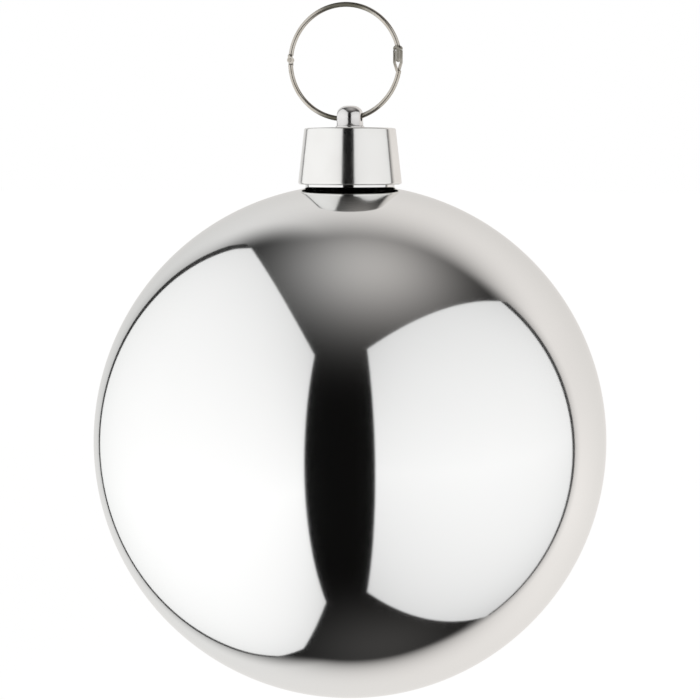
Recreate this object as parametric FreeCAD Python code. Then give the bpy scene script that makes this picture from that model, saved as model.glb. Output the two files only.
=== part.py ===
"""Large silvered glass ball ornament with a tapered cap, a hanging eye and a hinged snap ring.

Millimetres, +Z up. The origin is the hang point: the inside of the top of the ring, where a hook bears.
The ring lies in the XZ plane. The ball hangs a few millimetres to one side of the ring's lowest point,
where friction holds the eye on the wire, so its axis is parallel to Z and that far from it.
"""
import FreeCAD, Part
import math
import os

# Driving dimensions ---------------------------------------------------------------------------
BALL_RADIUS = 150.0          # outside of the glass
GLASS = 2.0                  # wall of the ball and of its neck
NECK_RADIUS = 25.8           # outside of the neck
NECK_HEIGHT = 18.0           # neck rim above the cap's rim
NECK_ROOT = 1.5              # hollow corner between ball and neck
NECK_EDGE = 0.5              # rounding of the neck's rim

CAP_RIM_RADIUS = 30.0        # wide lower end of the cap
CAP_TOP_RADIUS = 26.5        # narrow upper end of the cap
CAP_HEIGHT = 32.2
CAP_WALL = 1.2
CAP_ROOF = 2.0
CAP_TOP_EDGE = 1.1           # rounding round the roof
CAP_RIM_EDGE = 1.2           # rounding under the rim

EYE_RADIUS = 8.1             # round post that carries the ring
EYE_HEIGHT = 12.8            # above the cap's roof
EYE_DOME = 6.3               # rounding of the post's top
EYE_FLAT = 6.7               # the two flats stand this far from the axis
EYE_FLAT_EDGE = 0.5          # softened edges of the flats
FOOT_RADIUS = 8.4            # round foot under the flats
FOOT_HEIGHT = 1.4
SHANK_RADIUS = 3.0           # threaded shank below the post
SHANK_FIT = 0.15             # room round the shank in the roof, washer and clip
THREAD_FIT = 0.05            # room round the shank in the nuts

RING_RADIUS = 32.3           # centre line of the ring's wire
WIRE_RADIUS = 1.4
WIRE_ABOVE_CAP = 5.5         # centre line of the wire above the roof, where it passes the ball's axis
WIRE_FIT = 0.2               # room between the curved wire and the ends of the eye's hole
HANG_OFFSET = 3.2            # the ball's axis from the ring's lowest point

HINGE_DEG = 177.3            # place of the hinge pin round the ring, from +X towards +Z
KNUCKLE_RADIUS = 1.75        # round ends of the two halves where they lap at the hinge
KNUCKLE_PLATE = 1.4          # thickness of each lapped end
KNUCKLE_GAP = 0.1            # half of the gap between the two lapped ends
KNUCKLE_REACH = 2.5          # the round wire starts this far from the hinge pin
RIVET_RADIUS = 0.55
RIVET_HEAD_RADIUS = 1.05
RIVET_HEAD = 0.45
RIVET_FIT = 0.05             # running fit of the upper half on the rivet

CLASP_X = 31.3               # middle of the straight clasp from the ring's axis
CLASP_WIDTH = 5.1
CLASP_THICK = 2.4
CLASP_TOP = 6.2              # open top of the clasp's slot above the ring's centre
CLASP_BOTTOM = -5.8          # where the clasp runs into the wire
CLASP_SHOULDER = -1.0        # below this the clasp tapers towards the wire
SLOT_WIDTH = 2.6
SLOT_BOTTOM = -4.0
TONGUE_WIDTH = 1.8
TONGUE_THICK = 1.8
TONGUE_HEAD_RADIUS = 1.0
TONGUE_TIP = -0.6
TONGUE_X = 31.4              # slightly outwards, so that its head clears the inner rail as it lifts
COLLAR_WIDTH = 5.1           # the collar closes the slot's open top
COLLAR_HEIGHT = 2.3
COLLAR_ROUND = 1.7
COLLAR_GAP = 0.15

WASHER_RADIUS = 7.0
WASHER_THICK = 1.2
NUT_ACROSS_FLATS = 10.0
NUT_THICK = 4.0
CLIP_NUT_THICK = 3.0
CLIP_WIRE_RADIUS = 0.9
CLIP_ROOM = 0.3              # play of the clip's eye between the two nuts
CLIP_NECK_ROOM = 0.3         # between the clip's legs and the inside of the neck
SHANK_TAIL = 1.5             # shank showing below the last nut

GASKET_THICK = 2.5
GASKET_INNER_RADIUS = NECK_RADIUS - GLASS      # flush with the inside of the neck
GASKET_ROOM = 0.3            # between the gasket's taper and the cap's

# Levels, worked down from the hang point -------------------------------------------------------
RING_Z = -(RING_RADIUS - WIRE_RADIUS)
WIRE_DROP = math.sqrt(RING_RADIUS ** 2 - HANG_OFFSET ** 2)
WIRE_Z = RING_Z - WIRE_DROP               # where the wire crosses the ball's axis
CAP_TOP_Z = WIRE_Z - WIRE_ABOVE_CAP
CAP_RIM_Z = CAP_TOP_Z - CAP_HEIGHT
BALL_Z = CAP_RIM_Z - BALL_RADIUS          # the cap's rim is level with the top of the sphere
NECK_TOP_Z = CAP_RIM_Z + NECK_HEIGHT
ROOF_UNDER_Z = CAP_TOP_Z - CAP_ROOF
NUT_TOP_Z = ROOF_UNDER_Z - WASHER_THICK
NUT_UNDER_Z = NUT_TOP_Z - NUT_THICK
CLIP_EYE_Z = NUT_UNDER_Z - CLIP_ROOM - CLIP_WIRE_RADIUS
CLIP_NUT_TOP_Z = CLIP_EYE_Z - CLIP_WIRE_RADIUS - CLIP_ROOM
CLIP_NUT_UNDER_Z = CLIP_NUT_TOP_Z - CLIP_NUT_THICK
SHANK_END_Z = CLIP_NUT_UNDER_Z - SHANK_TAIL

X_AXIS = FreeCAD.Vector(1, 0, 0)
WIRE_AXIS = FreeCAD.Vector(WIRE_DROP, 0, HANG_OFFSET).normalize()    # along the wire inside the eye
Y_AXIS = FreeCAD.Vector(0, 1, 0)
Z_AXIS = FreeCAD.Vector(0, 0, 1)


def at(x, z, y=0.0):
    """A point given by its place in the ring's plane, and its depth if it has one."""
    return FreeCAD.Vector(x, y, z)


# Shared shapes ---------------------------------------------------------------------------------
def face_from(start, *steps):
    """Closed face in the XZ plane. A step is the next corner, or a (point on the arc, end) pair."""
    edges = []
    here = at(*start)
    for step in steps + (start,):
        if isinstance(step[0], tuple):
            through, end = at(*step[0]), at(*step[1])
            edges.append(Part.Arc(here, through, end).toShape())
        else:
            end = at(*step)
            if here.distanceToPoint(end) < 1e-6:
                continue
            edges.append(Part.makeLine(here, end))
        here = end
    return Part.Face(Part.Wire(edges))


def turned(face):
    """The solid that a face makes when it is turned once round the Z axis."""
    return face.revolve(FreeCAD.Vector(0, 0, 0), Z_AXIS, 360)


def plate(face, y_low, y_high):
    """A face of the XZ plane, thickened from one depth to another."""
    moved = face.copy()
    moved.translate(FreeCAD.Vector(0, y_low, 0))
    return moved.extrude(FreeCAD.Vector(0, y_high - y_low, 0))


def corner_arc(centre, radius, start_deg, end_deg):
    """An arc step for face_from: its middle and its end, on a circle about centre."""
    def on_circle(deg):
        angle = math.radians(deg)
        return centre[0] + radius * math.cos(angle), centre[1] + radius * math.sin(angle)
    return on_circle((start_deg + end_deg) / 2), on_circle(end_deg)


def rod(radius, start, end):
    """A round bar from one point to another."""
    axis = end - start
    return Part.makeCylinder(radius, axis.Length, start, axis)


def softened(solid, radius, choose):
    """Round the edges that choose(edge) picks."""
    return solid.makeFillet(radius, [edge for edge in solid.Edges if choose(edge)])


def cap_radius_at(z):
    """Outside radius of the cap's taper at a height."""
    up = (z - CAP_RIM_Z) / CAP_HEIGHT
    return CAP_RIM_RADIUS + up * (CAP_TOP_RADIUS - CAP_RIM_RADIUS)


# Ball ------------------------------------------------------------------------------------------
def glass_ball():
    """Blown shell with an even wall: a sphere that flows into a short cylindrical neck."""
    root_x = NECK_RADIUS + NECK_ROOT
    root_z = BALL_Z + math.sqrt((BALL_RADIUS + NECK_ROOT) ** 2 - root_x ** 2)
    lean = math.degrees(math.atan2(root_z - BALL_Z, root_x))
    centre, root = (0.0, BALL_Z), (root_x, root_z)
    inner_radius = BALL_RADIUS - GLASS
    bore = NECK_RADIUS - GLASS
    outer_shoulder = corner_arc(centre, BALL_RADIUS, -90, lean)
    inner_shoulder = corner_arc(root, NECK_ROOT + GLASS, 180, 180 + lean)
    return turned(face_from(
        (0.0, BALL_Z - BALL_RADIUS),
        outer_shoulder,
        corner_arc(root, NECK_ROOT, 180 + lean, 180),
        (NECK_RADIUS, NECK_TOP_Z - NECK_EDGE),
        corner_arc((NECK_RADIUS - NECK_EDGE, NECK_TOP_Z - NECK_EDGE), NECK_EDGE, 0, 90),
        (bore + NECK_EDGE, NECK_TOP_Z),
        corner_arc((bore + NECK_EDGE, NECK_TOP_Z - NECK_EDGE), NECK_EDGE, 90, 180),
        (bore, root_z),
        inner_shoulder,
        corner_arc(centre, inner_radius, lean, -90)))


def neck_gasket():
    """Soft ring on the neck's rim. Its outside follows the cap's inner taper."""
    top = NECK_TOP_Z + GASKET_THICK

    def outside(z):
        return cap_radius_at(z) - CAP_WALL - GASKET_ROOM
    ring = turned(face_from(
        (GASKET_INNER_RADIUS, NECK_TOP_Z),
        (outside(NECK_TOP_Z), NECK_TOP_Z),
        (outside(top), top),
        (GASKET_INNER_RADIUS, top)))
    return ring


# Cap and what hangs it -------------------------------------------------------------------------
def cap():
    """Tapered cup, open below, with a rounded roof edge, a rolled-under rim and a hole for the shank."""
    taper = math.degrees(math.atan2(CAP_RIM_RADIUS - CAP_TOP_RADIUS, CAP_HEIGHT))
    top_centre = (CAP_TOP_RADIUS - CAP_TOP_EDGE, CAP_TOP_Z - CAP_TOP_EDGE)
    rim_centre = (CAP_RIM_RADIUS - CAP_RIM_EDGE, CAP_RIM_Z + CAP_RIM_EDGE)
    hole = SHANK_RADIUS + SHANK_FIT
    top_start = corner_arc(top_centre, CAP_TOP_EDGE, 0, taper)[1]
    return turned(face_from(
        (cap_radius_at(CAP_RIM_Z) - CAP_WALL, CAP_RIM_Z),
        (rim_centre[0], CAP_RIM_Z),
        corner_arc(rim_centre, CAP_RIM_EDGE, -90, taper),
        top_start,
        corner_arc(top_centre, CAP_TOP_EDGE, taper, 90),
        (hole, CAP_TOP_Z),
        (hole, ROOF_UNDER_Z),
        (cap_radius_at(ROOF_UNDER_Z) - CAP_WALL, ROOF_UNDER_Z)))


def hanger_eye():
    """Domed round post on a foot, flattened on two sides, with the ring's cross hole and a shank.

    The hole lies along the wire where it passes the ball's axis. The wire curves up towards both ends of
    the hole, and that is where the eye bears on it.
    """
    top = CAP_TOP_Z + EYE_HEIGHT
    foot_top = CAP_TOP_Z + FOOT_HEIGHT
    dome_centre = (EYE_RADIUS - EYE_DOME, top - EYE_DOME)
    post = turned(face_from(
        (0.0, CAP_TOP_Z),
        (EYE_RADIUS, CAP_TOP_Z),
        (EYE_RADIUS, top - EYE_DOME),
        corner_arc(dome_centre, EYE_DOME, 0, 90),
        (0.0, top)))
    core = Part.makeBox(2 * EYE_FLAT, 4 * EYE_RADIUS, 2 * EYE_HEIGHT,
                        FreeCAD.Vector(-EYE_FLAT, -2 * EYE_RADIUS, CAP_TOP_Z))
    post = post.common(core)
    post = softened(post, EYE_FLAT_EDGE, lambda edge: is_flat_edge(edge, foot_top))
    foot = Part.makeCylinder(FOOT_RADIUS, FOOT_HEIGHT, at(0, CAP_TOP_Z))
    foot = softened(foot, FOOT_HEIGHT / 2, lambda edge: edge.BoundBox.ZMin > foot_top - 0.1
                    and edge.BoundBox.ZLength < 0.1)
    shank = rod(SHANK_RADIUS, at(0, CAP_TOP_Z + FOOT_HEIGHT), at(0, SHANK_END_Z))
    wire_rise = RING_RADIUS - math.sqrt(RING_RADIUS ** 2 - EYE_FLAT ** 2)
    wire_middle, half_run = at(0, WIRE_Z), WIRE_AXIS * (2 * EYE_RADIUS)
    hole = rod(WIRE_RADIUS + wire_rise + WIRE_FIT, wire_middle - half_run, wire_middle + half_run)
    return post.fuse([foot, shank]).cut(hole).removeSplitter()


def is_flat_edge(edge, above):
    """True for the edges of the post's two flats, except the one it stands on."""
    box = edge.BoundBox
    on_flat = box.XLength < 0.01 and abs(abs(box.XMin) - EYE_FLAT) < 0.01
    return on_flat and box.ZMax > above


def eye_washer():
    """Plain washer under the cap's roof."""
    disc = Part.makeCylinder(WASHER_RADIUS, WASHER_THICK, at(0, NUT_TOP_Z))
    hole = Part.makeCylinder(SHANK_RADIUS + SHANK_FIT, WASHER_THICK, at(0, NUT_TOP_Z))
    return disc.cut(hole)


def hex_nut(under_z, thick):
    """Hexagon nut on the shank, its corners turned off at both faces."""
    corner_radius = NUT_ACROSS_FLATS / math.sqrt(3)
    corners = [FreeCAD.Vector(corner_radius * math.cos(math.radians(60 * i)),
                              corner_radius * math.sin(math.radians(60 * i)), under_z) for i in range(7)]
    prism = Part.Face(Part.makePolygon(corners)).extrude(Z_AXIS * thick)
    turned_off = 0.5
    blank = Part.makeCylinder(corner_radius, thick, at(0, under_z))
    blank = blank.makeChamfer(turned_off, [edge for edge in blank.Edges if edge.BoundBox.ZLength < 0.1])
    bore = Part.makeCylinder(SHANK_RADIUS + THREAD_FIT, thick, at(0, under_z))
    return prism.common(blank).cut(bore)


def spring_clip():
    """Spring wire: an eye round the shank and two legs that bow out against the inside of the neck."""
    eye_radius = SHANK_RADIUS + SHANK_FIT + CLIP_WIRE_RADIUS
    touch_radius = NECK_RADIUS - GLASS - CLIP_NECK_ROOM - CLIP_WIRE_RADIUS
    legs_route = [(eye_radius, CLIP_EYE_Z),
                  (touch_radius - 3.0, CLIP_EYE_Z),
                  (touch_radius, CLIP_EYE_Z - 15.0),
                  (touch_radius, CLIP_EYE_Z - 27.0),
                  (touch_radius - 8.0, CLIP_EYE_Z - 42.0)]
    bends = [4.0, 12.0, 12.0]
    leg = bent_wire(legs_route, bends, CLIP_WIRE_RADIUS)
    other_leg = leg.copy()
    other_leg.rotate(FreeCAD.Vector(0, 0, 0), Z_AXIS, 180)
    eye = Part.makeTorus(eye_radius, CLIP_WIRE_RADIUS, at(0, CLIP_EYE_Z))
    return eye.fuse([leg, other_leg])


def bent_wire(points, bends, radius):
    """Round wire along straight runs in the XZ plane, joined by tangent arcs of the given radii."""
    edges = []
    here = at(*points[0])
    for before, corner, after, bend in zip(points, points[1:], points[2:], bends):
        back = (at(*before) - at(*corner)).normalize()
        onward = (at(*after) - at(*corner)).normalize()
        half = back.getAngle(onward) / 2
        tangent = bend / math.tan(half)
        inward = (back + onward).normalize()
        arc_start = at(*corner) + back * tangent
        arc_middle = at(*corner) + inward * (bend / math.sin(half) - bend)
        arc_end = at(*corner) + onward * tangent
        edges.append(Part.makeLine(here, arc_start))
        edges.append(Part.Arc(arc_start, arc_middle, arc_end).toShape())
        here = arc_end
    edges.append(Part.makeLine(here, at(*points[-1])))
    section = Part.Wire(Part.makeCircle(radius, at(*points[0]), at(*points[1]) - at(*points[0])))
    return Part.Wire(edges).makePipeShell([section], True, False)


# Ring ------------------------------------------------------------------------------------------
def ring_wire(start_deg, end_deg):
    """Part of the ring's round wire, between two angles from +X towards +Z."""
    angle = math.radians(start_deg)
    outward = at(math.cos(angle), math.sin(angle))
    along = at(-math.sin(angle), math.cos(angle))
    start = at(0, RING_Z) + outward * RING_RADIUS
    section = Part.Face(Part.Wire(Part.makeCircle(WIRE_RADIUS, start, along)))
    return section.revolve(at(0, RING_Z), FreeCAD.Vector(0, -1, 0), end_deg - start_deg)


def hinge_pin():
    """Middle of the hinge pin, on the centre line of the ring's wire."""
    angle = math.radians(HINGE_DEG)
    return at(RING_RADIUS * math.cos(angle), RING_Z + RING_RADIUS * math.sin(angle))


def knuckle(y_low, y_high, side, hole_radius):
    """Flattened end of one half: a round eye about the pin and a short neck to the wire, up or down."""
    pin = hinge_pin()
    thick = y_high - y_low
    disc = Part.makeCylinder(KNUCKLE_RADIUS, thick, pin + Y_AXIS * y_low, Y_AXIS)
    neck_width = 2 * WIRE_RADIUS * 0.9
    reach = KNUCKLE_REACH + 0.6
    neck = Part.makeBox(neck_width, thick, reach,
                        pin + FreeCAD.Vector(-neck_width / 2, y_low, 0 if side > 0 else -reach))
    hole = Part.makeCylinder(hole_radius, thick, pin + Y_AXIS * y_low, Y_AXIS)
    return disc.fuse(neck).cut(hole)


def clasp_eye():
    """Slotted end of the lower half: two rails that taper down into the wire, open at the top."""
    half = CLASP_WIDTH / 2
    slot = SLOT_WIDTH / 2
    tip = WIRE_RADIUS * 0.75
    notch = 0.35
    rail = (half - slot) / 2
    top = CLASP_TOP - rail
    face = face_from(
        (-half, top),
        ((-half + rail, CLASP_TOP), (-slot, top)),
        (-slot, CLASP_SHOULDER),
        (-notch, SLOT_BOTTOM + notch),
        ((0, SLOT_BOTTOM), (notch, SLOT_BOTTOM + notch)),
        (slot, CLASP_SHOULDER),
        (slot, top),
        ((half - rail, CLASP_TOP), (half, top)),
        (half, CLASP_SHOULDER),
        (tip, CLASP_BOTTOM),
        (-tip, CLASP_BOTTOM),
        (-half, CLASP_SHOULDER))
    face.translate(at(CLASP_X, RING_Z))
    return plate(face, -CLASP_THICK / 2, CLASP_THICK / 2)


def clasp_tongue():
    """Flattened end of the upper half: a round-shouldered collar, and a tongue that lies in the slot."""
    half = TONGUE_WIDTH / 2
    head = TONGUE_HEAD_RADIUS
    head_z = TONGUE_TIP + head
    shoulder_z = head_z + math.sqrt(head ** 2 - half ** 2)
    collar_low = CLASP_TOP + COLLAR_GAP
    tongue = face_from(
        (-half, shoulder_z),
        ((0, TONGUE_TIP), (half, shoulder_z)),
        (half, collar_low + COLLAR_HEIGHT / 2),
        (-half, collar_low + COLLAR_HEIGHT / 2))
    tongue.translate(at(TONGUE_X, RING_Z))
    tongue = plate(tongue, -TONGUE_THICK / 2, TONGUE_THICK / 2)
    collar_half, collar_top = COLLAR_WIDTH / 2, collar_low + COLLAR_HEIGHT
    bend_x, bend_z = collar_half - COLLAR_ROUND, collar_top - COLLAR_ROUND
    collar = face_from(
        (-collar_half, collar_low),
        (-collar_half, bend_z),
        corner_arc((-bend_x, bend_z), COLLAR_ROUND, 180, 90),
        (bend_x, collar_top),
        corner_arc((bend_x, bend_z), COLLAR_ROUND, 90, 0),
        (collar_half, collar_low))
    collar.translate(at(CLASP_X, RING_Z))
    return plate(collar, -CLASP_THICK / 2, CLASP_THICK / 2).fuse(tongue)


def ring_lower_half():
    """Lower half of the snap ring: it runs through the eye, with the hinge left and the slot right."""
    from_hinge = math.degrees(KNUCKLE_REACH / RING_RADIUS)
    clasp_end = math.degrees(math.asin((CLASP_BOTTOM + 0.5) / RING_RADIUS))
    wire = ring_wire(HINGE_DEG + from_hinge, 360 + clasp_end)
    lap = knuckle(KNUCKLE_GAP, KNUCKLE_GAP + KNUCKLE_PLATE, -1, RIVET_RADIUS)
    return wire.fuse([lap, clasp_eye()])


def ring_upper_half():
    """Upper half of the snap ring: it swings up about the rivet, and its tongue closes in the slot."""
    from_hinge = math.degrees(KNUCKLE_REACH / RING_RADIUS)
    collar_middle = CLASP_TOP + COLLAR_GAP + COLLAR_HEIGHT * 0.6
    clasp_end = math.degrees(math.asin(collar_middle / RING_RADIUS))
    wire = ring_wire(clasp_end, HINGE_DEG - from_hinge)
    lap = knuckle(-KNUCKLE_GAP - KNUCKLE_PLATE, -KNUCKLE_GAP, 1, RIVET_RADIUS + RIVET_FIT)
    return wire.fuse([lap, clasp_tongue()])


def ring_rivet():
    """Hinge pin through both lapped ends, with a low head on each side."""
    outside = KNUCKLE_GAP + KNUCKLE_PLATE
    pin = hinge_pin()
    half_length = Y_AXIS * (outside + RIVET_HEAD)
    shaft = rod(RIVET_RADIUS, pin - half_length, pin + half_length)
    heads = []
    for side, gap in ((1, 0.0), (-1, RIVET_FIT)):
        foot = pin + Y_AXIS * (side * (outside + gap))
        head = Part.makeCylinder(RIVET_HEAD_RADIUS, RIVET_HEAD, foot, Y_AXIS * side)
        far_y = side * (outside + gap + RIVET_HEAD)
        heads.append(softened(head, RIVET_HEAD * 0.6, lambda edge: abs(edge.BoundBox.Center.y - far_y) < 0.01
                              and edge.BoundBox.YLength < 0.01))
    return shaft.fuse(heads)


# Output ----------------------------------------------------------------------------------------
HUNG_PARTS = {               # made about the Z axis, then moved to where they hang
    "glass_ball": glass_ball(),
    "neck_gasket": neck_gasket(),
    "cap": cap(),
    "hanger_eye": hanger_eye(),
    "eye_washer": eye_washer(),
    "eye_nut": hex_nut(NUT_UNDER_Z, NUT_THICK),
    "spring_clip": spring_clip(),
    "clip_nut": hex_nut(CLIP_NUT_UNDER_Z, CLIP_NUT_THICK),
}
RING_PARTS = {
    "ring_lower_half": ring_lower_half(),
    "ring_upper_half": ring_upper_half(),
    "ring_rivet": ring_rivet(),
}

for shape in HUNG_PARTS.values():
    shape.translate(X_AXIS * HANG_OFFSET)

os.makedirs("parts", exist_ok=True)
for name, shape in {**HUNG_PARTS, **RING_PARTS}.items():
    shape.exportStep(f"parts/{name}.step")
    print(f"{name}: valid {shape.isValid()}, solids {len(shape.Solids)}, {shape.Volume:.1f} mm3")
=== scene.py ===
"""A large silvered glass ball ornament in a plain light studio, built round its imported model."""
import math

import bmesh
import bpy
import numpy as np
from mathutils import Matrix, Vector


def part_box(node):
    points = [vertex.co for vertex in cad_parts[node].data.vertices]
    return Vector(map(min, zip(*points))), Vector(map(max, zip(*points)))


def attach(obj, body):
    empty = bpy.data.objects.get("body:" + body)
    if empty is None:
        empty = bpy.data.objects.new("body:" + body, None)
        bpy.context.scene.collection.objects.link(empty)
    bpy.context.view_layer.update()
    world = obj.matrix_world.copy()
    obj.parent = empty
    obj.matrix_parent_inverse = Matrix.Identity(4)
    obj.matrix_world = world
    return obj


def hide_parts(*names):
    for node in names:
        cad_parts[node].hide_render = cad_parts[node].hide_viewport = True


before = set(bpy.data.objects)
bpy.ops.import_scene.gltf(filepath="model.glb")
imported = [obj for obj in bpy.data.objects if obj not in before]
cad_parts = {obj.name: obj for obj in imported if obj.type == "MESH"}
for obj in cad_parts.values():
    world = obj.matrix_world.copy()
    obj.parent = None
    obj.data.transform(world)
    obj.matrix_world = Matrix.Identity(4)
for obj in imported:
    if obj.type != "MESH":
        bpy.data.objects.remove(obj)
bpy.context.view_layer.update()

# Driving sizes, in metres ------------------------------------------------------------------------
MM = 0.001
GLASS = 2.0 * MM             # wall of the ball
NECK_ROOT = 1.5 * MM         # hollow corner between ball and neck
NECK_RADIUS = 25.8 * MM
NECK_LIP = 0.9 * MM          # fire-polished edge of the neck
CAP_TOP_RADIUS = 26.5 * MM
CAP_WALL = 1.2 * MM
CAP_ROOF = 2.0 * MM
CAP_TOP_EDGE = 1.1 * MM
CAP_RIM_EDGE = 1.2 * MM
SHANK_HOLE = 3.15 * MM

# Places, read from the frame ---------------------------------------------------------------------
ball_low, ball_high = (np.array(corner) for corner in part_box("glass_ball"))
cap_low, cap_high = (np.array(corner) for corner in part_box("cap"))
AXIS_X = (cap_low[0] + cap_high[0]) / 2
CAP_RIM_RADIUS = (cap_high[0] - cap_low[0]) / 2
CAP_RIM_Z, CAP_TOP_Z = cap_low[2], cap_high[2]
BALL_RADIUS = (CAP_RIM_Z - ball_low[2]) / 2
BALL_Z = ball_low[2] + BALL_RADIUS
NECK_TOP_Z = ball_high[2]

# Studio, in ball radii and degrees ---------------------------------------------------------------
CAMERA_AZIMUTH = 14.0
CAMERA_AWAY = 5.5            # level distance from the ball's axis
CAMERA_UP = 1.088            # above the ball's centre
CAMERA_PITCH = 7.61          # downwards
LENS = 72.6
SENSOR = 36.0
SOFTBOX_AWAY = 4.0
CASE_BEHIND = 0.05           # the black case behind each glowing sheet
# Corners of the glowing sheets, (across, up). The left one's far edge is rounded.
LEFT_SHEET = [(7.55, 8.2), (-4.5, 8.35), (-5.0, 7.0), (-5.2, 2.5), (-5.7, -1.0), (-5.55, -3.2), (-5.1, -7.0),
              (-4.7, -11.0), (-3.9, -15.0), (-1.0, -19.0), (8.65, -16.3)]
RIGHT_SHEET = [(-4.1, 6.0), (4.5, 5.15), (4.5, -8.1), (-4.06, -7.5)]
FLOOR_HALF = 40.0            # metres
FLOOR_BELOW = 0.6            # metres under the ball


# Meshes ------------------------------------------------------------------------------------------
def closed_surface(name, points):
    """A grid of points as a mesh: point (i, j) is joined to (i+1, j) and (i, j+1), and the last row and
    column to the first. Points in one place become one, which closes seams and poles."""
    rows, columns = points.shape[:2]
    places, where = np.unique(np.round(points.reshape(-1, 3), 8), axis=0, return_inverse=True)
    where = where.reshape(rows, columns)
    i, j = (index.ravel() for index in np.indices((rows, columns)))
    next_i, next_j = (i + 1) % rows, (j + 1) % columns
    corners = np.stack([where[i, j], where[i, next_j], where[next_i, next_j], where[next_i, j]], axis=1)
    repeated = corners == np.roll(corners, -1, axis=1)
    quads = corners[~repeated.any(axis=1)]
    at_pole = repeated.sum(axis=1) == 1
    triangles = corners[at_pole][~repeated[at_pole]].reshape(-1, 3)
    mesh = bpy.data.meshes.new(name)
    mesh.from_pydata(places.tolist(), [], quads.tolist() + triangles.tolist())
    mesh.validate()
    return finished(name, mesh)


def finished(name, mesh, sharp_above=35.0):
    """The mesh as an object: smooth, but with an edge kept where faces meet at a sharp angle."""
    mesh.polygons.foreach_set("use_smooth", np.ones(len(mesh.polygons), bool))
    mesh.set_sharp_from_angle(angle=math.radians(sharp_above))
    mesh.update()
    piece = bpy.data.objects.new(name, mesh)
    bpy.context.scene.collection.objects.link(piece)
    return piece


def bow(centre, radius, start, end, steps):
    """Points (r, z) on a circle about centre, from one angle to another in degrees from +r to +z."""
    angle = np.radians(np.linspace(start, end, steps))
    return np.stack([centre[0] + radius * np.cos(angle), centre[1] + radius * np.sin(angle)], axis=1)


def line(start, end, steps):
    """Evenly spaced points (r, z) from start to end."""
    return np.linspace(start, end, steps)


def turned(name, outline, around=256):
    """A closed outline (r, z) carried round the ball's axis: x = axis + r cos t, y = r sin t."""
    turn = np.linspace(0, 2 * np.pi, around, endpoint=False)[None, :]
    r, z = outline[:, :1], outline[:, 1:]
    points = np.stack(np.broadcast_arrays(AXIS_X + r * np.cos(turn), r * np.sin(turn), z), axis=2)
    return closed_surface(name, points)


def polished_copy(name, node):
    """The CAD node's own shape with its loose triangles joined, so that it can shade smoothly."""
    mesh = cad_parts[node].data.copy()
    work = bmesh.new()
    work.from_mesh(mesh)
    bmesh.ops.remove_doubles(work, verts=work.verts, dist=0.001 * MM)
    work.to_mesh(mesh)
    work.free()
    mesh.materials.clear()
    return finished(name, mesh, 28.0)


# Materials ---------------------------------------------------------------------------------------
class Term:
    """A number that changes over a surface, ready for arithmetic: each step adds a Math node."""

    def __init__(self, recipe, socket):
        self.recipe, self.socket = recipe, socket

    def _step(self, operation, *values):
        return self.recipe.maths(operation, *values)

    def __add__(self, other):
        return self._step("ADD", self, other)

    def __radd__(self, other):
        return self._step("ADD", other, self)

    def __sub__(self, other):
        return self._step("SUBTRACT", self, other)

    def __rsub__(self, other):
        return self._step("SUBTRACT", other, self)

    def __mul__(self, other):
        return self._step("MULTIPLY", self, other)

    def __rmul__(self, other):
        return self._step("MULTIPLY", other, self)

    def __truediv__(self, other):
        return self._step("DIVIDE", self, other)

    def __rtruediv__(self, other):
        return self._step("DIVIDE", other, self)

    def __pow__(self, other):
        return self._step("POWER", self, other)

    def __abs__(self):
        return self._step("ABSOLUTE", self)

    def at_least(self, least):
        return self._step("MAXIMUM", self, least)

    def rise(self, start, end):
        """0 below start, 1 above end, with a smooth slope between. It falls where end is below start."""
        settings = {"interpolation_type": "SMOOTHSTEP"}
        low, high = (0.0, 1.0) if start < end else (1.0, 0.0)
        inputs = {"Value": self, "From Min": min(start, end), "From Max": max(start, end),
                  "To Min": low, "To Max": high}
        return Term(self.recipe, self.recipe.node("ShaderNodeMapRange", settings, inputs).outputs["Result"])


class Recipe:
    """The nodes of one material or of the world."""

    def __init__(self, owner):
        owner.use_nodes = True
        self.tree = owner.node_tree
        self.tree.nodes.clear()

    def node(self, kind, settings=None, inputs=None):
        """Add a node: its settings first, then the values or links of its sockets."""
        made = self.tree.nodes.new(kind)
        for key, value in (settings or {}).items():
            setattr(made, key, value)
        for key, value in (inputs or {}).items():
            socket = made.inputs[key]
            if isinstance(value, Term):
                value = value.socket
            if isinstance(value, bpy.types.NodeSocket):
                self.tree.links.new(value, socket)
            else:
                socket.default_value = value
        return made

    def mix(self, factor, first, second):
        """From the first colour to the second. A Mix node has a pair of sockets for each kind of data,
        and its colours are sockets 6 and 7."""
        first, second = ((*side, 1.0) if isinstance(side, tuple) else side for side in (first, second))
        made = self.node("ShaderNodeMix", {"data_type": "RGBA"}, {0: factor, 6: first, 7: second})
        return made.outputs[2]

    def maths(self, operation, *values):
        made = self.node("ShaderNodeMath", {"operation": operation}, dict(enumerate(values)))
        return Term(self, made.outputs[0])

    def place(self, scale=(1, 1, 1), about=(0, 0, 0)):
        """Object coordinates, centred on a point and stretched."""
        raw = self.node("ShaderNodeTexCoord").outputs["Object"]
        shift = tuple(-a * s for a, s in zip(about, scale))
        return self.node("ShaderNodeMapping", None,
                         {"Vector": raw, "Scale": scale, "Location": shift}).outputs["Vector"]

    def noise(self, scale, detail=3.0, stretch=(1, 1, 1), about=(0, 0, 0)):
        """Soft random variation from 0 to 1; scale is in lumps per metre."""
        made = self.node("ShaderNodeTexNoise", None, {
            "Vector": self.place(stretch, about), "Scale": scale, "Detail": detail})
        return Term(self, made.outputs["Fac"])

    def bump(self, height, depth):
        """A normal from a height; depth is in metres."""
        return self.node("ShaderNodeBump", None, {"Height": height, "Strength": 1.0,
                                                  "Distance": depth}).outputs["Normal"]

    def surface(self, **inputs):
        """Finish with a Principled surface."""
        names = {key.replace("_", " "): value for key, value in inputs.items()}
        shader = self.node("ShaderNodeBsdfPrincipled", None, names)
        self.node("ShaderNodeOutputMaterial", None, {"Surface": shader.outputs[0]})


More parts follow.
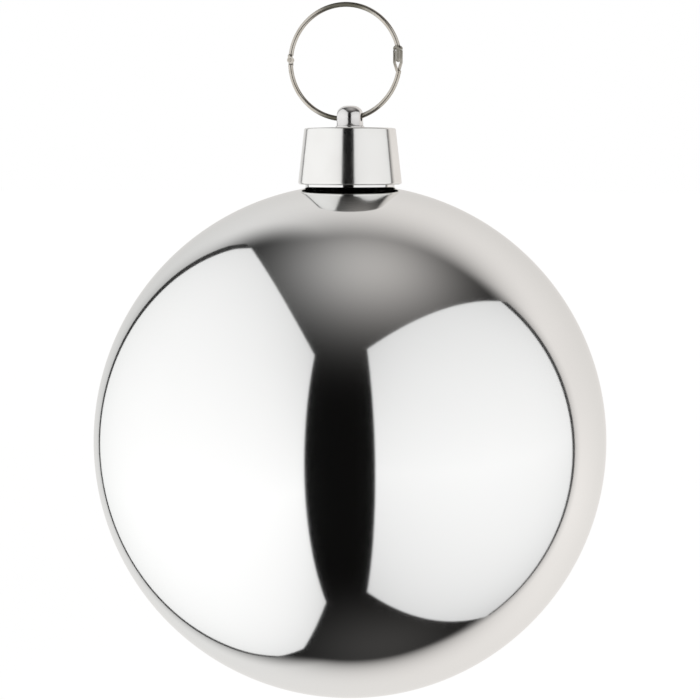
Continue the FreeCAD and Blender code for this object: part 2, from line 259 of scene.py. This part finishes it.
def new_material(name):
    material = bpy.data.materials.new(name)
    return material, Recipe(material)


def silvered_glass():
    """Bright silver behind clear glass: a mirror under a coat, with slight clouding and waviness."""
    material, r = new_material("silvered_glass")
    centre = (AXIS_X, 0, BALL_Z)
    cloud = r.noise(9.0, 4.0, about=centre).rise(0.35, 0.75)
    fine = r.noise(160.0, 5.0, about=centre)
    wave = r.noise(14.0, 1.0, about=centre)
    colour = r.mix(cloud * 0.6, (0.955, 0.957, 0.955), (0.925, 0.928, 0.925))
    r.surface(Base_Color=colour, Metallic=1.0, Roughness=0.055 + 0.015 * fine,
              Specular_Tint=(0.86, 0.865, 0.86, 1.0), Coat_Weight=0.3, Coat_IOR=1.5, Coat_Roughness=0.05,
              Normal=r.bump(wave, 0.00002))
    return material


def bright_plate(name, light, dull, gloss):
    """Bright chrome plate: faint upright polishing streaks, and patches that are a little duller."""
    material, r = new_material(name)
    about = (AXIS_X, 0, CAP_TOP_Z)
    patch = r.noise(60.0, 4.0, about=about).rise(0.35, 0.7)
    lines = r.noise(900.0, 3.0, stretch=(1, 1, 0.05), about=about)
    colour = r.mix(patch, light, dull)
    r.surface(Base_Color=colour, Metallic=1.0, Roughness=gloss + 0.03 * lines + 0.02 * patch,
              Normal=r.bump(lines, 0.0000015))
    return material


def drawn_nickel(name, light, dark):
    """Warm grey nickel on drawn wire: fine draw lines, dull patches, and a painted olive shade where |x| is
    small:
    at the ring's top it is a painted dark reflection of the room, and it also darkens the wire in the eye.
    A thinner olive darkening is on the clasp's collar."""
    material, r = new_material(name)
    split = r.node("ShaderNodeSeparateXYZ", None, {0: r.node("ShaderNodeTexCoord").outputs["Object"]})
    x, _, z = (Term(r, socket) for socket in split.outputs)
    patch = r.noise(150.0, 4.0)
    ragged = r.noise(500.0, 3.0)
    mottle = 0.006 * (patch + ragged - 1.0)
    # Painted shade: olive where |x| is small, a painted dark reflection at the ring's top and darkening in
    # the eye.
    painted_top_and_eye_shade = (abs(x) + mottle).rise(0.021, 0.007)
    # Darker on the clasp's collar, by x and z.
    clasp = x.rise(0.0275, 0.0285) * (z + mottle).rise(-0.036, -0.029) * z.rise(-0.0215, -0.0225)
    # The painted shade, with the clasp's darker collar added where the painted shade is not.
    painted_shade_and_clasp_darkening = painted_top_and_eye_shade + 0.7 * clasp * (1 - painted_top_and_eye_shade)
    lines = r.noise(3000.0, 2.0, stretch=(1, 0.3, 1))
    base = r.mix(patch.rise(0.4, 0.65), light, dark)
    # The painted shade and the clasp's collar darken towards this olive.
    colour = r.mix(painted_shade_and_clasp_darkening * 0.85, base, (0.075, 0.072, 0.05))
    r.surface(Base_Color=colour, Metallic=1.0, Roughness=0.16 + 0.08 * patch + 0.08 * painted_shade_and_clasp_darkening,
              Normal=r.bump(lines, 0.000001))
    return material


def zinc_steel(name, light, dark, gloss):
    """Zinc-plated steel: small crystals of brighter and duller metal."""
    material, r = new_material(name)
    crystals = r.node("ShaderNodeTexVoronoi", {"feature": "F1"}, {"Vector": r.place(), "Scale": 1400.0})
    spangle = Term(r, crystals.outputs["Distance"])
    patch = r.noise(300.0, 4.0)
    colour = r.mix(spangle.rise(0.1, 0.7) * 0.6 + patch * 0.4, light, dark)
    r.surface(Base_Color=colour, Metallic=1.0, Roughness=gloss + 0.12 * patch,
              Normal=r.bump(spangle, 0.00001))
    return material


def gasket_rubber():
    """Black rubber with a dusty bloom and a fine moulded grain."""
    material, r = new_material("gasket_rubber")
    bloom = r.noise(180.0, 5.0).rise(0.4, 0.75)
    grain = r.noise(3000.0, 2.0)
    colour = r.mix(bloom, (0.018, 0.018, 0.019), (0.055, 0.053, 0.05))
    r.surface(Base_Color=colour, Roughness=0.62 + 0.15 * bloom, Normal=r.bump(grain, 0.00003))
    return material


# Pieces ------------------------------------------------------------------------------------------
def ball_outline():
    """Outside of the sphere from its foot up, hollow root, neck, lip, and the inside back down."""
    root_x = NECK_RADIUS + NECK_ROOT
    root_z = BALL_Z + math.sqrt((BALL_RADIUS + NECK_ROOT) ** 2 - root_x ** 2)
    lean = math.degrees(math.atan2(root_z - BALL_Z, root_x))
    bore = NECK_RADIUS - GLASS
    lip = (NECK_RADIUS - GLASS / 2, NECK_TOP_Z - NECK_LIP)
    return np.concatenate([
        bow((0, BALL_Z), BALL_RADIUS, -90, lean, 181),
        bow((root_x, root_z), NECK_ROOT, 180 + lean, 180, 10)[1:],
        line((NECK_RADIUS, root_z), (NECK_RADIUS, lip[1]), 8)[1:],
        np.array([lip[0], lip[1]]) + (bow((0, 0), 1, 0, 180, 15) * (GLASS / 2, NECK_LIP))[1:],
        line((bore, lip[1]), (bore, root_z), 8)[1:],
        bow((root_x, root_z), NECK_ROOT + GLASS, 180, 180 + lean, 10)[1:],
        bow((0, BALL_Z), BALL_RADIUS - GLASS, lean, -90, 91)[1:]])


def glass_ball():
    """The blown shell with its neck."""
    piece = turned("mirror_ball", ball_outline())
    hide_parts("glass_ball")
    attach(piece, "ball")
    piece.data.materials.append(silvered_glass())


def cap_outline():
    """Rim, tapered wall, rounded roof edge, shank hole, and the inside back down."""
    taper = math.degrees(math.atan2(CAP_RIM_RADIUS - CAP_TOP_RADIUS, CAP_TOP_Z - CAP_RIM_Z))
    top = (CAP_TOP_RADIUS - CAP_TOP_EDGE, CAP_TOP_Z - CAP_TOP_EDGE)
    rim = (CAP_RIM_RADIUS - CAP_RIM_EDGE, CAP_RIM_Z + CAP_RIM_EDGE)
    under = CAP_TOP_Z - CAP_ROOF
    slope = (CAP_RIM_RADIUS - CAP_TOP_RADIUS) / (CAP_TOP_Z - CAP_RIM_Z)
    inner_foot = CAP_RIM_RADIUS - CAP_WALL
    inner_top = inner_foot - slope * (under - CAP_RIM_Z)
    wall = line(bow(rim, CAP_RIM_EDGE, taper, taper, 1)[0], bow(top, CAP_TOP_EDGE, taper, taper, 1)[0], 25)
    return np.concatenate([
        bow(rim, CAP_RIM_EDGE, -90, taper, 12),
        wall[1:-1],
        bow(top, CAP_TOP_EDGE, taper, 90, 14),
        line((top[0], CAP_TOP_Z), (SHANK_HOLE, CAP_TOP_Z), 12)[1:],
        line((SHANK_HOLE, CAP_TOP_Z), (SHANK_HOLE, under), 3)[1:],
        line((SHANK_HOLE, under), (inner_top, under), 8)[1:],
        line((inner_top, under), (inner_foot, CAP_RIM_Z), 16)[1:]])


def cap():
    """The tapered cap."""
    piece = turned("cap_shell", cap_outline())
    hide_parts("cap")
    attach(piece, "hanger")
    piece.data.materials.append(bright_plate("cap_chrome", (0.9, 0.895, 0.88), (0.875, 0.867, 0.85), 0.12))


def small_metal():
    """The eye and the ring keep their CAD shapes, with their triangles joined for smooth shading. The
    ring isn't seen in the ball."""
    chrome = bright_plate("eye_chrome", (0.84, 0.83, 0.825), (0.78, 0.765, 0.76), 0.13)
    nickel = drawn_nickel("ring_nickel", (0.6, 0.565, 0.51), (0.52, 0.48, 0.42))
    rivet_nickel = drawn_nickel("rivet_nickel", (0.48, 0.45, 0.4), (0.4, 0.37, 0.32))
    finishes = {"hanger_eye": ("eye_post", "hanger", "eye_chrome", chrome),
                "ring_lower_half": ("ring_lower", "ring_lower", "ring_nickel", nickel),
                "ring_upper_half": ("ring_upper", "ring_upper", "ring_nickel", nickel),
                "ring_rivet": ("hinge_rivet", "ring_lower", "rivet_nickel", rivet_nickel)}
    for node, (name, body, slot, material) in finishes.items():
        piece = polished_copy(name, node)
        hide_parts(node)
        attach(piece, body)
        piece.visible_glossy = node == "hanger_eye"
        piece.data.materials.append(material)


def inner_parts():
    """What holds the cap on, inside: these nodes keep their CAD shapes."""
    plated = zinc_steel("plated_steel", (0.62, 0.62, 0.6), (0.42, 0.42, 0.41), 0.28)
    spring = zinc_steel("spring_steel", (0.46, 0.46, 0.47), (0.33, 0.33, 0.34), 0.3)
    rubber = gasket_rubber()
    finishes = {"eye_washer": plated, "eye_nut": plated, "clip_nut": plated,
                "spring_clip": spring, "neck_gasket": rubber}
    for node, material in finishes.items():
        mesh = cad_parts[node].data
        mesh.materials.clear()
        mesh.materials.append(material)


# Studio ------------------------------------------------------------------------------------------
def compass(azimuth):
    """Level unit vectors towards an azimuth from the camera's side, and across it to the right."""
    angle = math.radians(azimuth + CAMERA_AZIMUTH)
    return np.array([math.sin(angle), -math.cos(angle), 0]), np.array([math.cos(angle), math.sin(angle), 0])


def standing_sheet(name, azimuth, away, corners):
    """A flat sheet that faces the ball, hidden from the camera. Its corners are (across, up)."""
    towards, across = compass(azimuth)
    centre = np.array([AXIS_X, 0, BALL_Z])
    places = [centre + BALL_RADIUS * (away * towards + u * across + v * np.array([0, 0, 1]))
              for u, v in corners]
    mesh = bpy.data.meshes.new(name)
    mesh.from_pydata([tuple(place) for place in places], [], [tuple(range(len(places)))])
    sheet = bpy.data.objects.new(name, mesh)
    bpy.context.scene.collection.objects.link(sheet)
    material, r = new_material(name)
    mesh.materials.append(material)
    sheet.visible_camera = False
    return r


def softbox(name, azimuth, corners, case_edge, glow):
    """A glowing sheet in a black case that shows along its far side. With u across and v up in ball
    radii, its brightness is peak - above * max(v - v0, 0) - below * max(v0 - v, 0), less
    sides * (u / half width) squared."""
    peak, v0, above, below, sides, half_width = glow
    r = standing_sheet(name, azimuth, SOFTBOX_AWAY, corners)
    split = r.node("ShaderNodeSeparateXYZ", None, {0: r.node("ShaderNodeTexCoord").outputs["Object"]})
    east, north, up = (Term(r, socket) for socket in split.outputs)
    _, across = compass(azimuth)
    u = ((east - AXIS_X) * across[0] + north * across[1]) / BALL_RADIUS
    v = (up - BALL_Z) / BALL_RADIUS - v0
    bright = peak - above * v.at_least(0.0) - below * (-1 * v).at_least(0.0) - sides * (u / half_width) ** 2
    colour = r.node("ShaderNodeVectorMath", {"operation": "SCALE"}, {"Vector": (1.0, 1.0, 0.997),
                                                                   "Scale": bright})
    shine = r.node("ShaderNodeEmission", None, {"Color": colour.outputs["Vector"]})
    r.node("ShaderNodeOutputMaterial", None, {"Surface": shine.outputs[0]})

    top, bottom = max(v for _, v in corners), min(v for _, v in corners)
    case = [(u + math.copysign(case_edge, azimuth) * (0.5 + 0.5 * (v - bottom) / (top - bottom)), v)
            if u * azimuth > 0 else (u, v) for u, v in corners]
    r = standing_sheet(name + "_case", azimuth, SOFTBOX_AWAY + CASE_BEHIND, case)
    r.surface(Base_Color=(0.02, 0.02, 0.02, 1.0), Roughness=0.9)


def room():
    """The studio round the set, as brightness by direction, with x to the camera's right, y towards the
    camera and z up: dark at the front, a wide white wall behind, a grey ceiling that is brighter on the
    right and a dark ground. The wall fades with z / -y, its height over its distance. The camera itself
    sees plain white."""
    world = bpy.data.worlds.new("studio")
    bpy.context.scene.world = world
    r = Recipe(world)
    split = r.node("ShaderNodeSeparateXYZ", None, {0: r.node("ShaderNodeTexCoord").outputs["Generated"]})
    east, north, z = (Term(r, socket) for socket in split.outputs)
    front, right = compass(0.0)
    x = east * right[0] + north * right[1]
    y = east * front[0] + north * front[1]
    azimuth = r.maths("ARCTAN2", x, y) * (180 / math.pi)
    spill = 0.0038
    ceiling = 0.41 * z.at_least(0.0) ** 8.1 * (1 + 1.1 * x)
    ground = 0.035 * ((-0.6 - z).at_least(0.0) / 0.4) ** 4.2 * (1 + 2.3 * x).at_least(0.0)
    steep = z / (-1 * y).at_least(0.0001)
    below_top = steep.rise(3.2, 0.65)
    above_foot = (-1 * steep).rise(7.3, 0.43)
    wall = (0.77 + 0.11 * z.rise(0.2, -0.4) + 0.05 * x) * below_top * above_foot
    # The wall begins a little behind the ball on the right, and further round on the left.
    right_side = azimuth.rise(103.0, 120.0)
    left_side = (azimuth + 11.3 * z.rise(0.5, 0.95) * azimuth.rise(0.0, -1.0)).rise(-125.0, -153.5)
    light = spill + ceiling + ground + (wall - ceiling * below_top).at_least(0.0) * (right_side + left_side)
    tint = r.mix(x.rise(-0.6, 0.3), (1.0, 0.995, 0.985), (1.0, 0.962, 0.93))
    colour = r.node("ShaderNodeVectorMath", {"operation": "SCALE"}, {"Vector": tint, "Scale": light})
    seen = Term(r, r.node("ShaderNodeLightPath").outputs["Is Camera Ray"])
    shown = r.mix(seen, colour.outputs["Vector"], (1.0, 1.0, 1.0))
    background = r.node("ShaderNodeBackground", None, {"Color": shown})
    r.node("ShaderNodeOutputWorld", None, {"Surface": background.outputs[0]})


def floor():
    """A wide pale floor well below the ornament."""
    z = ball_low[2] - FLOOR_BELOW
    corners = [(FLOOR_HALF * u, FLOOR_HALF * v, z) for u, v in ((-1, -1), (1, -1), (1, 1), (-1, 1))]
    mesh = bpy.data.meshes.new("floor")
    mesh.from_pydata(corners, [], [(0, 1, 2, 3)])
    ground = bpy.data.objects.new("floor", mesh)
    bpy.context.scene.collection.objects.link(ground)
    material, r = new_material("pale_floor")
    cloud = r.noise(1.5, 2.0)
    tone = r.mix(cloud, (0.10, 0.10, 0.10), (0.13, 0.13, 0.13))
    r.surface(Base_Color=tone, Roughness=1.0, Emission_Color=(1, 1, 1, 1), Emission_Strength=0.96)
    mesh.materials.append(material)
    ground.visible_glossy = False


def camera():
    """At the ball's side, level with the cap's roof, looking a little down."""
    towards, _ = compass(0.0)
    data = bpy.data.cameras.new("camera")
    data.lens = LENS
    data.sensor_width = SENSOR
    data.clip_end = 200.0
    eye = bpy.data.objects.new("camera", data)
    centre = np.array([AXIS_X, 0, BALL_Z])
    eye.location = centre + BALL_RADIUS * (CAMERA_AWAY * towards + CAMERA_UP * np.array([0, 0, 1]))
    eye.rotation_euler = (math.radians(90 - CAMERA_PITCH), 0, math.radians(CAMERA_AZIMUTH))
    bpy.context.scene.collection.objects.link(eye)
    bpy.context.scene.camera = eye


camera()
room()
floor()
softbox("softbox_left", -81.0, LEFT_SHEET, 1.1, (1.10, -1.5, 0.031, 0.018, 0.06, 6.0))
softbox("softbox_right", 55.0, RIGHT_SHEET, 0.65, (1.0, -0.2, 0.04, 0.035, 0.07, 4.2))
bpy.context.scene.view_settings.view_transform = "Standard"

glass_ball()
cap()
small_metal()
inner_parts()
